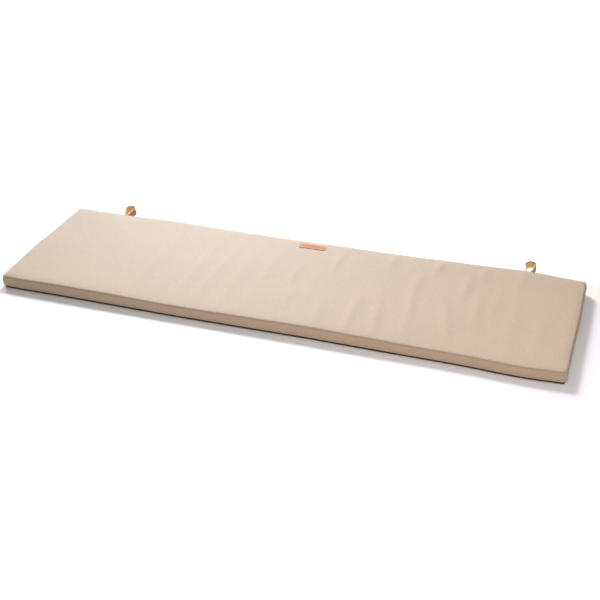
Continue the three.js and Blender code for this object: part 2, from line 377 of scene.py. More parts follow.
def fill_with_foam(piece):
    cloth = piece.modifiers.new("filling", "CLOTH")
    settings = cloth.settings
    settings.quality = 6
    settings.mass = 0.3
    settings.tension_stiffness = 30
    settings.compression_stiffness = 12
    settings.shear_stiffness = 10
    settings.bending_stiffness = 2
    settings.use_pressure = True
    settings.uniform_pressure_force = FOAM_PRESSURE
    settings.effector_weights.gravity = 0
    settings.vertex_group_mass = "seam_thread"
    cloth.point_cache.frame_start = 1
    cloth.point_cache.frame_end = STEPS
    for step in range(1, STEPS + 1):
        bpy.context.scene.frame_set(step)
    filled = piece.evaluated_get(bpy.context.evaluated_depsgraph_get())
    places = np.zeros(len(piece.data.vertices) * 3)
    filled.data.vertices.foreach_get("co", places)
    piece.modifiers.remove(cloth)
    bpy.context.scene.frame_set(1)
    return places.reshape(-1, 3)


filled_places = fill_with_foam(cover)
moves = soft_limit(filled_places - sewn, FOAM_GIVE)
print("largest move", round(float(np.linalg.norm(moves, axis=1).max()) * 1000, 2), "mm")

# %% [markdown]
# After the simulation come the things that its grid is too even to make: the crown of the foam
# slab, the loose ridges, and the small puckers where the sewing thread pulls the cloth together.
# The bottom panel lies on the seat, so it is pressed flat again.

# %% Crown, ridges and puckers
CROWN = 0.0011
PUCKER = 0.00028
PUCKER_REACH = 0.011
PUCKER_STEP = 0.013
PUCKER_STRETCH = (1, 1, 0.2)
SWELL = 0.0003
SWELL_STEP = 0.09


def ripple(points, step, seed):
    """Smooth noise from -1 to 1, alike on every run."""
    offset = Vector((seed, 0.0, 0.0))
    return np.array([noise.noise(Vector(point) / step + offset) for point in points])


places = sewn + moves
crown = CROWN * (1 - (2 * flat_x / LENGTH) ** 4) * (1 - (2 * flat_y / DEPTH) ** 2)
loose = ridge_height(place_x, place_y, inside)
puckers = PUCKER * ripple(places * PUCKER_STRETCH, PUCKER_STEP, 3.0)
slow_swell = SWELL * ripple(places, SWELL_STEP, 7.0)
top = level == TOP_LEVEL
places[top, 2] += (crown + loose + slow_swell + puckers * np.exp(-inside / PUCKER_REACH))[top]
strip = on_rim & (level > 1) & (level < TOP_LEVEL - 1)
places[strip, 0] += (out_x * (puckers + slow_swell))[strip]
places[strip, 1] += (out_y * (puckers + slow_swell))[strip]
under = level == 0
places[under, 2] = sewn[under, 2]
cover_mesh.vertices.foreach_set("co", places.ravel())
print("thickness", round(float(places[:, 2].max()) * 1000, 1), "mm")

# %% [markdown]
# A seam is a narrow groove: two cloths meet, and both dive inwards. Bevel with two segments
# turns each seam's edge loop into three loops, and the middle one is drawn in and creased.

# %% Seam grooves
GROOVE_HALF = 0.0008
LOW_GROOVE = 0.0018
TOP_GROOVE = 0.0008
GROOVE_CREASE = 0.7
CORE_INSET = 0.03

groove_cloth = bmesh.new()
groove_cloth.from_mesh(cover_mesh)
seam_mark = groove_cloth.verts.layers.int["seam"]
seam_edges = [
    edge
    for edge in groove_cloth.edges
    if edge.verts[0][seam_mark] and edge.verts[0][seam_mark] == edge.verts[1][seam_mark]
]
grooved = bmesh.ops.bevel(
    groove_cloth,
    geom=seam_edges,
    offset=GROOVE_HALF,
    offset_type="OFFSET",
    segments=2,
    profile=0.5,
    affect="EDGES",
    clamp_overlap=True,
    material=-1,
)
groove_faces = set(grooved["faces"])
bottoms = {
    vertex
    for vertex in grooved["verts"]
    if vertex.is_valid and all(face in groove_faces for face in vertex.link_faces)
}
crease = groove_cloth.edges.layers.float.new("crease_edge")
for edge in groove_cloth.edges:
    if edge.verts[0] in bottoms and edge.verts[1] in bottoms:
        edge[crease] = GROOVE_CREASE
for vertex in bottoms:
    core = Vector(
        (
            max(CORE_INSET - LENGTH / 2, min(LENGTH / 2 - CORE_INSET, vertex.co.x)),
            max(CORE_INSET - DEPTH / 2, min(DEPTH / 2 - CORE_INSET, vertex.co.y)),
            vertex.co.z,
        )
    )
    depth = TOP_GROOVE if vertex.co.z > BOXING / 2 else LOW_GROOVE
    vertex.co += (core - vertex.co).normalized() * depth
groove_cloth.to_mesh(cover_mesh)
groove_cloth.free()
print("groove points:", len(bottoms), "faces:", len(cover_mesh.polygons))

# %% [markdown]
# One level of Subdivision Surface rounds the cloth. The viewport level equals the render level,
# so that every tool sees the same mesh.

# %% Finish the cover
def smooth_finish(piece):
    rounding = piece.modifiers.new("rounding", "SUBSURF")
    rounding.levels = 1
    rounding.render_levels = 1


smooth_finish(cover)
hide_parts("cushion")
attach(cover, "root")
print("cover has about", len(cover_mesh.polygons) * 8, "triangles after rounding")

# %% [markdown]
# The label is a small patch of vegetable tanned leather. Its edge is cut and rubbed round, and a
# press has left a border line and a slightly sunk field. A flat rectangle is enough to start:
# bevel rounds its corners, extrude gives the thickness, inset makes the border.

# %% Leather label
LABEL_LENGTH = 0.076
LABEL_WIDTH = 0.026
LABEL_THICKNESS = 0.0024
LABEL_CORNER = 0.004
LABEL_EDGE_ROUND = 0.0006
LABEL_AT = Vector((-0.002, 0.185, 0.0))
LAY_GAP = 0.0003
SHOULDER_RISE = 0.0024
SHOULDER_ROUND = 0.007
PLAIN_CROWN = 0.0016


def cushion_top(x, y):
    """Height of the top panel by formula. The filled cover ends about a millimetre above it."""
    spot_x = np.array([x])
    spot_y = np.array([y])
    inside = cut_line(spot_x, spot_y)[4]
    shoulder = SHOULDER_RISE * (1 - np.exp(-inside / SHOULDER_ROUND))
    crown = PLAIN_CROWN * (1 - (2 * x / LENGTH) ** 4) * (1 - (2 * y / DEPTH) ** 2)
    ridge = ridge_height(spot_x, spot_y, inside)
    drop = side_waves(spot_x, spot_y)[2]
    return float((SEAM_RISE + BOXING + LIP + shoulder + crown + ridge - drop)[0])


def new_piece(name, shape, node):
    """A finished piece from a bmesh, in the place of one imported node."""
    shape.normal_update()
    for face in shape.faces:
        face.smooth = True
    mesh = bpy.data.meshes.new(name)
    shape.to_mesh(mesh)
    shape.free()
    piece = new_object(name, mesh)
    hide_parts(node)
    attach(piece, "root")
    print(name, "has", len(mesh.polygons), "faces")
    return piece


def rounded_rectangle(shape, size_x, size_y, corner, segments):
    bmesh.ops.create_grid(shape, x_segments=1, y_segments=1, size=0.5)
    bmesh.ops.scale(shape, vec=(size_x, size_y, 1), verts=shape.verts)
    bmesh.ops.bevel(
        shape,
        geom=shape.verts[:],
        offset=corner,
        offset_type="OFFSET",
        segments=segments,
        profile=0.5,
        affect="VERTICES",
        material=-1,
    )


patch = bmesh.new()
rounded_rectangle(patch, LABEL_LENGTH, LABEL_WIDTH, LABEL_CORNER, 6)
raised = bmesh.ops.extrude_face_region(patch, geom=patch.faces[:])
raised_verts = [item for item in raised["geom"] if isinstance(item, bmesh.types.BMVert)]
bmesh.ops.translate(patch, vec=(0, 0, LABEL_THICKNESS), verts=raised_verts)
bmesh.ops.recalc_face_normals(patch, faces=patch.faces[:])
rim = [edge for edge in patch.edges if edge.verts[0].co.z == edge.verts[1].co.z]
bmesh.ops.bevel(
    patch,
    geom=rim,
    offset=LABEL_EDGE_ROUND,
    offset_type="OFFSET",
    segments=3,
    profile=0.5,
    affect="EDGES",
    material=-1,
)
print("blank patch:", len(patch.faces), "faces")

# %% [markdown]
# The pressed line: the top face is inset to the border's width, sinks over half of the line's
# width, runs level over the other half, and rises again to the field, which stays a little
# lower than the border. Plane cuts every few millimetres then let the patch bend, so that it
# follows the curve of the panel below it.

# %% Pressed border and field
BORDER = 0.0026
LINE_WIDTH = 0.0007
LINE_DEPTH = 0.00035
FIELD_DEPTH = 0.00018
FIELD_SLOPE = 0.0003
STEEP = 0.5
CUT_STEP = 0.004
SAME_POINT = 1e-6

field = max(patch.faces, key=lambda face: face.calc_center_median().z * 1000 + face.calc_area())
for step_in, step_down in ((BORDER, 0), (LINE_WIDTH / 2, LINE_DEPTH), (LINE_WIDTH / 2, 0)):
    bmesh.ops.inset_individual(patch, faces=[field], thickness=step_in, depth=-step_down)
bmesh.ops.inset_individual(
    patch, faces=[field], thickness=FIELD_SLOPE, depth=LINE_DEPTH - FIELD_DEPTH
)
field.material_index = 1
patch.normal_update()
for face in patch.faces:
    if abs(face.normal.z) < STEEP:
        face.material_index = 2
for axis, span in ((0, LABEL_LENGTH), (1, LABEL_WIDTH)):
    cuts = round(span / CUT_STEP)
    for cut in range(1, cuts):
        spot = Vector((0, 0, 0))
        normal = Vector((0, 0, 0))
        spot[axis] = (cut / cuts - 0.5) * span
        normal[axis] = 1
        bmesh.ops.bisect_plane(
            patch,
            geom=patch.verts[:] + patch.edges[:] + patch.faces[:],
            dist=SAME_POINT,
            plane_co=spot,
            plane_no=normal,
        )
bmesh.ops.translate(patch, vec=LABEL_AT, verts=patch.verts)
for vertex in patch.verts:
    vertex.co.z += cushion_top(vertex.co.x, vertex.co.y) + LAY_GAP
label = new_piece("leather_label", patch, "label")

# %% [markdown]
# Two small domed rivets hold the label. A rivet's head is a profile spun round its own axis:
# a few points from the middle of the dome to its rim and back below it. The rim is set a tenth
# of a millimetre into the leather of the pressed field, so that no gap shows under it.

# %% Rivet heads
RIVET_SPACING = 0.056
RIVET_RADIUS = 0.0026
RIVET_HEIGHT = 0.0010
RIVET_SUNK = 0.0001
HEAD_PROFILE = (
    (0.0, 1.0),
    (0.35, 0.97),
    (0.66, 0.85),
    (0.88, 0.60),
    (0.97, 0.36),
    (1.0, 0.16),
    (0.96, 0.0),
    (0.5, 0.0),
    (0.0, 0.0),
)


def rivet_head(x, y):
    head = bmesh.new()
    points = [
        head.verts.new((radius * RIVET_RADIUS, 0, rise * RIVET_HEIGHT))
        for radius, rise in HEAD_PROFILE
    ]
    profile = [head.edges.new(pair) for pair in zip(points, points[1:])]
    bmesh.ops.spin(
        head,
        geom=points + profile,
        cent=(0, 0, 0),
        axis=(0, 0, 1),
        angle=2 * math.pi,
        steps=32,
        use_merge=True,
        use_duplicate=False,
    )
    bmesh.ops.remove_doubles(head, verts=head.verts[:], dist=SAME_POINT)
    bmesh.ops.recalc_face_normals(head, faces=head.faces[:])
    field_top = cushion_top(x, y) + LAY_GAP + LABEL_THICKNESS - FIELD_DEPTH
    bmesh.ops.translate(head, vec=(x, y, field_top - RIVET_SUNK), verts=head.verts)
    return head


rivets = []
for side, sign in (("left", -1), ("right", 1)):
    spot = LABEL_AT.x + sign * RIVET_SPACING / 2
    head = rivet_head(spot, LABEL_AT.y)
    rivets.append(new_piece("rivet_" + side, head, "label_rivet_" + side))

# %% [markdown]
# Each strap loop is one leather strap on edge: it leaves the boxing, goes round in the shape of a
# drop, and comes back beside itself. The two legs all but touch where they are sewn in. A small
# section of the strap is carried along that path, extruded and turned at each step.

# %% Path of a strap loop
STRAP_WIDTH = 0.022
STRAP_THICKNESS = 0.0038
LOOP_LENGTH = 0.054
LOOP_END_RADIUS = 0.0127
LOOP_NECK = 0.006
LOOP_SUNK = 0.008
LEG_OFFSET = 0.0020
LEG_START = 0.0004
LEGS_PART_AT = 0.001
LEG_PARTING = 0.015
LEG_POINTS = 15
ARC_POINTS = 29
LOOPS_AT = {"left": -0.602, "right": 0.596}
LOOP_RISE = math.radians(13)
LOOP_LEAN = math.radians(6)


def drop_path():
    """Points down the middle of the strap in plan, +Y away from the cushion."""
    centre = LOOP_LENGTH - LOOP_END_RADIUS - STRAP_THICKNESS / 2
    half_neck = LOOP_NECK / 2
    reach = centre + LOOP_SUNK
    span = math.hypot(half_neck, reach)
    lead = math.atan2(half_neck, reach) - math.asin(LOOP_END_RADIUS / span)
    touch_x = LOOP_END_RADIUS * math.cos(lead)
    touch_y = centre + LOOP_END_RADIUS * math.sin(lead)
    leg = []
    for y in np.linspace(LEG_START, touch_y, LEG_POINTS + 1)[:-1]:
        up_the_leg = (y + LOOP_SUNK) / (touch_y + LOOP_SUNK)
        straight = half_neck + (touch_x - half_neck) * up_the_leg
        blend = min(max((y - LEGS_PART_AT) / LEG_PARTING, 0), 1)
        blend = blend * blend * (3 - 2 * blend)
        leg.append((LEG_OFFSET + (straight - LEG_OFFSET) * blend, y))
    arc = [
        (LOOP_END_RADIUS * math.cos(turn), centre + LOOP_END_RADIUS * math.sin(turn))
        for turn in np.linspace(lead, math.pi - lead, ARC_POINTS)
    ]
    return leg + arc + [(-x, y) for x, y in reversed(leg)]


path_length = sum(math.dist(here, last) for here, last in zip(drop_path()[1:], drop_path()))
print("strap path:", len(drop_path()), "points,", round(path_length * 1000), "mm")

# %% [markdown]
# The section is a rectangle of leather with rounded corners. Two numbers ride on its points and
# are copied by each extrusion: how far across the strap a point is, and whether it is on the
# outer, grained face or the inner, rough one. A third number, how far along the strap the point
# is, is written after each step. The leather's material reads all three later.

# %% Strap loops
STRAP_CORNER = 0.0009
ROOT_HEIGHT = 0.016


def strap_loop(root):
    """One strap, grown along its path, then leaned, raised and moved to its root."""
    strap = bmesh.new()
    across = strap.verts.layers.float.new("across")
    face_side = strap.verts.layers.float.new("face_side")
    along = strap.verts.layers.float.new("along")
    rounded_rectangle(strap, STRAP_THICKNESS, STRAP_WIDTH, STRAP_CORNER, 4)
    for vertex in strap.verts:
        vertex[across] = vertex.co.y / (STRAP_WIDTH / 2)
        vertex[face_side] = vertex.co.x / (STRAP_THICKNESS / 2)
    bmesh.ops.rotate(
        strap, cent=(0, 0, 0), matrix=Matrix.Rotation(math.pi / 2, 3, "X"), verts=strap.verts
    )
    path = drop_path()
    end = strap.faces[:]
    before = Matrix.Translation((*path[0], 0))
    bmesh.ops.transform(strap, matrix=before, verts=strap.verts)
    done = 0.0
    for index in range(1, len(path)):
        here = Vector(path[index])
        last = Vector(path[index - 1])
        done += (here - last).length
        ahead = Vector(path[min(index + 1, len(path) - 1)]) - last
        turn = math.atan2(ahead.y, ahead.x) - math.pi / 2
        if index == len(path) - 1:
            turn = math.pi
        now = Matrix.Translation((*here, 0)) @ Matrix.Rotation(turn, 4, "Z")
        grown = bmesh.ops.extrude_face_region(strap, geom=end)
        end = [item for item in grown["geom"] if isinstance(item, bmesh.types.BMFace)]
        moved = [item for item in grown["geom"] if isinstance(item, bmesh.types.BMVert)]
        bmesh.ops.transform(strap, matrix=now @ before.inverted(), verts=moved)
        for vertex in moved:
            vertex[along] = done
        before = now
    bmesh.ops.recalc_face_normals(strap, faces=strap.faces[:])
    lean_turn = Matrix.Rotation(-LOOP_LEAN, 4, "Y")
    rise_turn = Matrix.Rotation(LOOP_RISE, 4, "X")
    bmesh.ops.transform(
        strap, matrix=Matrix.Translation(root) @ rise_turn @ lean_turn, verts=strap.verts
    )
    return strap


straps = {}
for side, root_x in LOOPS_AT.items():
    back_out, back_sag = side_waves(np.array([root_x]), np.array([DEPTH / 2]))[1:]
    root_y = DEPTH / 2 + float(back_out[0]) + BULGE
    root_z = SEAM_RISE + ROOT_HEIGHT - float(back_sag[0]) * ROOT_HEIGHT / BOXING
    strap = strap_loop(Vector((root_x, root_y, root_z)))
    straps[side] = new_piece("strap_loop_" + side, strap, "loop_" + side)
    smooth_finish(straps[side])

# %% [markdown]
# Materials. Several of them share an effect, so each effect is a node group: threads, grain and
# slow mottling. A group takes a place in metres. Threads and grain put out a tone and a height,
# for a material to mix its own colours with, and the mottling puts out a changed colour. A few
# helpers come first: they make a group, or add one node and give back what it puts out.

# %% Node helpers
def new_group(name, inputs, outputs):
    group = bpy.data.node_groups.new(name, "ShaderNodeTree")
    for socket_name, kind, value in inputs:
        socket = group.interface.new_socket(name=socket_name, in_out="INPUT", socket_type=kind)
        if value is not None:
            socket.default_value = value
    for socket_name, kind in outputs:
        group.interface.new_socket(name=socket_name, in_out="OUTPUT", socket_type=kind)
    start = group.nodes.new("NodeGroupInput")
    end = group.nodes.new("NodeGroupOutput")
    return group, start, end


def math_node(tree, operation, first, second=None, third=None):
    node = tree.nodes.new("ShaderNodeMath")
    node.operation = operation
    for index, value in enumerate((first, second, third)):
        if value is None:
            continue
        if isinstance(value, (int, float)):
            node.inputs[index].default_value = value
        else:
            tree.links.new(value, node.inputs[index])
    return node.outputs[0]


def noise_node(tree, place, scale, detail=2.0, roughness=0.5):
    node = tree.nodes.new("ShaderNodeTexNoise")
    node.inputs["Scale"].default_value = scale
    node.inputs["Detail"].default_value = detail
    node.inputs["Roughness"].default_value = roughness
    tree.links.new(place, node.inputs["Vector"])
    return node.outputs["Fac"]


def stretched(tree, place, scale):
    node = tree.nodes.new("ShaderNodeMapping")
    node.inputs["Scale"].default_value = scale
    tree.links.new(place, node.inputs["Vector"])
    return node.outputs["Vector"]


def split_place(tree, place):
    node = tree.nodes.new("ShaderNodeSeparateXYZ")
    tree.links.new(place, node.inputs[0])
    return node.outputs


# %% [markdown]
# Plain canvas: one thread over, one under, both ways. Sine waves of the map give each thread its
# round back, and the sign of their product says which thread lies on top. Long thin noise along
# each thread makes some threads paler and some darker, as in melange yarn.

# %% Group: woven threads
THREADS_PER_METRE = 1300.0
WARP_STREAKS = (1300, 40, 1)
WEFT_STREAKS = (40, 1300, 1)
SLUBS = (520, 60, 1)
SLUB_SHARE = 0.7
VALLEY_TONE = 0.32
HILL_TONE = 0.35
STREAK_HEIGHT = 0.3

woven, woven_in, woven_out = new_group(
    "woven_threads",
    (
        ("Place", "NodeSocketVector", None),
        ("Threads per metre", "NodeSocketFloat", THREADS_PER_METRE),
        ("Streak", "NodeSocketFloat", 1.0),
    ),
    (("Tone", "NodeSocketFloat"), ("Height", "NodeSocketFloat")),
)
woven_place = woven_in.outputs["Place"]
woven_split = split_place(woven, woven_place)


def thread_wave(axis):
    """A sine along one axis of the map, with half a wave to each thread."""
    count = woven_in.outputs["Threads per metre"]
    threads = math_node(woven, "MULTIPLY", woven_split[axis], count)
    return math_node(woven, "SINE", math_node(woven, "MULTIPLY", threads, math.pi))


wave_x = thread_wave("X")
wave_y = thread_wave("Y")
over = math_node(woven, "MULTIPLY", wave_x, wave_y)
warp_on_top = math_node(woven, "GREATER_THAN", over, 0.0)
back_x = math_node(woven, "ABSOLUTE", wave_x)
back_y = math_node(woven, "ABSOLUTE", wave_y)
hill = math_node(woven, "SQRT", math_node(woven, "MULTIPLY", back_x, back_y))
warp_streak = noise_node(woven, stretched(woven, woven_place, WARP_STREAKS), scale=1.0)
weft_streak = noise_node(woven, stretched(woven, woven_place, WEFT_STREAKS), scale=1.0)
streak_gap = math_node(woven, "SUBTRACT", warp_streak, weft_streak)
streak = math_node(woven, "MULTIPLY_ADD", streak_gap, warp_on_top, weft_streak)
thick_and_thin = stretched(woven, woven_place, SLUBS)
slubs = noise_node(woven, thick_and_thin, scale=1.0, detail=3.0, roughness=0.6)
slub_swing = math_node(woven, "SUBTRACT", slubs, 0.5)
yarn = math_node(woven, "MULTIPLY_ADD", slub_swing, SLUB_SHARE, streak)
yarn_swing = math_node(woven, "SUBTRACT", yarn, 0.5)
centred = math_node(woven, "MULTIPLY", yarn_swing, woven_in.outputs["Streak"])
low_tone = math_node(woven, "ADD", centred, VALLEY_TONE)
tone = math_node(woven, "MULTIPLY_ADD", hill, HILL_TONE, low_tone)
woven.links.new(tone, woven_out.inputs["Tone"])
thread_height = math_node(woven, "MULTIPLY_ADD", streak, STREAK_HEIGHT, hill)
woven.links.new(thread_height, woven_out.inputs["Height"])
print("group:", woven.name, len(woven.nodes), "nodes")

# %% [markdown]
# Leather grain: small cells with creases between them, and a few pores. Voronoi distance to the
# edge of a cell gives the creases, and fine noise breaks up its regular look.

# %% Group: leather grain
CREASE_STEEPNESS = 4.0
CREASE_SHARE = 0.18
TAN_SHARE = 0.82
TAN_PATCHES = 160.0
PORES = 2600.0
PORE_HEIGHT = 0.4

grain, grain_in, grain_out = new_group(
    "leather_grain",
    (("Place", "NodeSocketVector", None), ("Cells per metre", "NodeSocketFloat", 1500.0)),
    (("Tone", "NodeSocketFloat"), ("Height", "NodeSocketFloat")),
)
grain_place = grain_in.outputs["Place"]
cells = grain.nodes.new("ShaderNodeTexVoronoi")
cells.feature = "DISTANCE_TO_EDGE"
grain.links.new(grain_place, cells.inputs["Vector"])
grain.links.new(grain_in.outputs["Cells per metre"], cells.inputs["Scale"])
from_crease = math_node(grain, "MULTIPLY", cells.outputs["Distance"], CREASE_STEEPNESS)
creases = math_node(grain, "MINIMUM", from_crease, 1.0)
tanned = noise_node(grain, grain_place, TAN_PATCHES, detail=4.0, roughness=0.6)
pores = noise_node(grain, grain_place, PORES)
tan_part = math_node(grain, "MULTIPLY", tanned, TAN_SHARE)
tone = math_node(grain, "MULTIPLY_ADD", creases, CREASE_SHARE, tan_part)
grain.links.new(tone, grain_out.inputs["Tone"])
grain_height = math_node(grain, "MULTIPLY_ADD", pores, PORE_HEIGHT, creases)
grain.links.new(grain_height, grain_out.inputs["Height"])
print("group:", grain.name, len(grain.nodes), "nodes")

# %% [markdown]
# Slow mottling: broad, soft changes of tone, as where a cloth was handled or a hide was thicker.

# %% Group: slow mottling
def scaled(tree, colour, factor):
    node = tree.nodes.new("ShaderNodeVectorMath")
    node.operation = "SCALE"
    tree.links.new(colour, node.inputs[0])
    tree.links.new(factor, node.inputs["Scale"])
    return node.outputs["Vector"]


mottle, mottle_in, mottle_out = new_group(
    "slow_mottle",
    (
        ("Place", "NodeSocketVector", None),
        ("Patches per metre", "NodeSocketFloat", 9.0),
        ("Colour", "NodeSocketColor", (1, 1, 1, 1)),
        ("Amount", "NodeSocketFloat", 0.05),
    ),
    (("Colour", "NodeSocketColor"),),
)
patches = mottle.nodes.new("ShaderNodeTexNoise")
patches.inputs["Detail"].default_value = 3.0
mottle.links.new(mottle_in.outputs["Place"], patches.inputs["Vector"])
mottle.links.new(mottle_in.outputs["Patches per metre"], patches.inputs["Scale"])
swing = math_node(mottle, "SUBTRACT", patches.outputs["Fac"], 0.5)
amount = math_node(mottle, "MULTIPLY_ADD", swing, mottle_in.outputs["Amount"], 1.0)
mottled = scaled(mottle, mottle_in.outputs["Colour"], amount)
mottle.links.new(mottled, mottle_out.inputs["Colour"])
print("group:", mottle.name, len(mottle.nodes), "nodes")

# %% [markdown]
# The canvas. Pale sand threads and slightly browner ones, matt, with a faint sheen of short
# fibres that shows at grazing angles. The boxing strip's darker tone is painted shade: it is darker
# than the panels here, to match the photograph under these lights. The real strip is probably the
# same cloth.

# %% Canvas materials
PANEL_THREADS = ((0.394, 0.312, 0.241), (0.697, 0.593, 0.508))
# painted shade: the strip's threads are darker than the panels'
SHADED_STRIP_THREADS = ((0.302, 0.223, 0.159), (0.539, 0.423, 0.329))
CANVAS_STREAK = 0.7


def mixed(tree, factor, first, second, blend="MIX"):
    """From the first to the second, each of them a colour or the output of another node."""
    node = tree.nodes.new("ShaderNodeMix")
    node.data_type = "RGBA"
    node.blend_type = blend
    tree.links.new(factor, node.inputs["Factor"])
    for socket_name, colour in (("A", first), ("B", second)):
        if isinstance(colour, bpy.types.NodeSocket):
            tree.links.new(colour, node.inputs[socket_name])
        else:
            node.inputs[socket_name].default_value = (*colour, 1)
    return node.outputs["Result"]


def vertex_number(tree, name):
    node = tree.nodes.new("ShaderNodeAttribute")
    node.attribute_name = name
    return node.outputs["Fac"]


def placed_group(tree, group, place, **values):
    node = tree.nodes.new("ShaderNodeGroup")
    node.node_tree = group
    tree.links.new(place, node.inputs["Place"])
    for socket_name, value in values.items():
        socket = node.inputs[socket_name.replace("_", " ")]
        if isinstance(value, bpy.types.NodeSocket):
            tree.links.new(value, socket)
        else:
            socket.default_value = value
    return node


def bumped(tree, shader, height, distance, strength):
    bump = tree.nodes.new("ShaderNodeBump")
    bump.inputs["Distance"].default_value = distance
    bump.inputs["Strength"].default_value = strength
    tree.links.new(height, bump.inputs["Height"])
    tree.links.new(bump.outputs["Normal"], shader.inputs["Normal"])


def new_material(name):
    material = bpy.data.materials.new(name)
    material.use_nodes = True
    tree = material.node_tree
    return material, tree, tree.nodes["Principled BSDF"]


def canvas_material(name, dark, pale):
    material, tree, shader = new_material(name)
    flat_map = tree.nodes.new("ShaderNodeUVMap")
    flat_map.uv_map = "threads"
    place = flat_map.outputs["UV"]
    weave = placed_group(
        tree, woven, place, Threads_per_metre=THREADS_PER_METRE, Streak=CANVAS_STREAK
    )
    colour = mixed(tree, weave.outputs["Tone"], dark, pale)
    soft = placed_group(tree, mottle, place, Patches_per_metre=8.0, Colour=colour, Amount=0.05)
    light_left = math_node(tree, "SUBTRACT", 1.0, vertex_number(tree, "shade"))
    shaded = scaled(tree, soft.outputs["Colour"], light_left)
    tree.links.new(shaded, shader.inputs["Base Color"])
    bumped(tree, shader, weave.outputs["Height"], distance=0.00022, strength=0.6)
    shader.inputs["Roughness"].default_value = 0.92
    shader.inputs["Specular IOR Level"].default_value = 0.2
    shader.inputs["Sheen Weight"].default_value = 0.12
    shader.inputs["Sheen Roughness"].default_value = 0.5
    return material


cover_mesh.materials.append(canvas_material("panel_canvas", *PANEL_THREADS))
cover_mesh.materials.append(canvas_material("shaded_strip_canvas", *SHADED_STRIP_THREADS))
print("canvas slots:", [material.name for material in cover_mesh.materials])

# %% [markdown]
# The label's leather is light tan, and darker in its pressed middle between the rivets, because
# heat and pressure darken vegetable tanned leather. Its cut edge is dark. The dark middle is a
# soft rectangle in Object coordinates: no picture is needed for it.

# %% Label leather
BORDER_TAN = ((0.450, 0.188, 0.062), (0.606, 0.293, 0.111))
FIELD_TAN = ((0.435, 0.179, 0.058), (0.586, 0.279, 0.104))
EDGE_BROWN = ((0.10, 0.055, 0.030), (0.20, 0.110, 0.060))
BURNISHED = (0.81, 0.61, 0.45)
BURNISHED_HALF = (0.021, 0.0055)
BURNISHED_FADE = 0.003


def object_place(tree):
    return tree.nodes.new("ShaderNodeTexCoord").outputs["Object"]


def faded(tree, value, start, full):
    """0 where the value is start, 1 where it is full, and even steps between them."""
    node = tree.nodes.new("ShaderNodeMapRange")
    node.inputs["From Min"].default_value = start
    node.inputs["From Max"].default_value = full
    tree.links.new(value, node.inputs["Value"])
    return node.outputs["Result"]


def uneven_roughness(tree, shader, tone, base, swing):
    """Roughness of base where the tone is 0, and base plus swing where it is 1."""
    rough = math_node(tree, "MULTIPLY_ADD", tone, swing, base)
    tree.links.new(rough, shader.inputs["Roughness"])


def burnished_zone(tree, place):
    """1 in the pressed middle of the label, 0 at its border and round the rivets."""
    from_middle = tree.nodes.new("ShaderNodeVectorMath")
    from_middle.operation = "SUBTRACT"
    from_middle.inputs[1].default_value = tuple(LABEL_AT)
    tree.links.new(place, from_middle.inputs[0])
    spots = split_place(tree, from_middle.outputs["Vector"])
    shares = []
    for axis, half in zip("XY", BURNISHED_HALF):
        distance = math_node(tree, "ABSOLUTE", spots[axis])
        shares.append(faded(tree, distance, half + BURNISHED_FADE, half))
    return math_node(tree, "MULTIPLY", *shares)


def label_leather(name, dark, pale):
    material, tree, shader = new_material(name)
    place = object_place(tree)
    hide = placed_group(tree, grain, place, Cells_per_metre=1700.0)
    colour = mixed(tree, hide.outputs["Tone"], dark, pale)
    soft = placed_group(tree, mottle, place, Patches_per_metre=60.0, Colour=colour, Amount=0.25)
    zone = burnished_zone(tree, place)
    pressed = mixed(tree, zone, soft.outputs["Colour"], BURNISHED, "MULTIPLY")
    tree.links.new(pressed, shader.inputs["Base Color"])
    bumped(tree, shader, hide.outputs["Height"], distance=0.00008, strength=0.5)
    uneven_roughness(tree, shader, hide.outputs["Tone"], base=0.42, swing=0.2)
    return material


label.data.materials.append(label_leather("border_leather", *BORDER_TAN))
label.data.materials.append(label_leather("field_leather", *FIELD_TAN))
label.data.materials.append(label_leather("edge_leather", *EDGE_BROWN))
print("label leather:", [material.name for material in label.data.materials])

# %% [markdown]
# The straps' leather. A strap has a grained outer face, a rough inner face, and rubbed edges
# that are dark round the far end and pale on the legs: the pale legs are a painted highlight,
# where the light catches their edges. The three numbers on its points say which is which. Each
# strap's tones are painted light: the right strap is given a lighter tone than the left one, to
# match the photograph under these lights. The real straps are probably alike.

# %% Strap leather
GRAIN_BROWN = ((0.25, 0.130, 0.062), (0.44, 0.255, 0.125))
FLESH_TAN = ((0.55, 0.335, 0.160), (0.80, 0.600, 0.345))
# painted highlight: the pale colour of the legs' edges stands in for light catching them
EDGE_DARK = (0.070, 0.036, 0.018)
EDGE_HIGHLIGHT = (0.760, 0.510, 0.260)
EDGE_FROM = 0.93
EDGE_FULL = 0.985
HIGHLIGHT_FROM = 0.015
HIGHLIGHT_FULL = 0.030
PALEST = 0.97
# painted light: each strap's tones lighten or darken it to suit how the lights fall on it
PAINTED_STRAP_LIGHT = {"left": (0.92, 1.05, 1.10), "right": (1.35, 1.15, 1.35)}


def toned(colour, tone):
    return tuple(min(channel * tone, PALEST) for channel in colour)


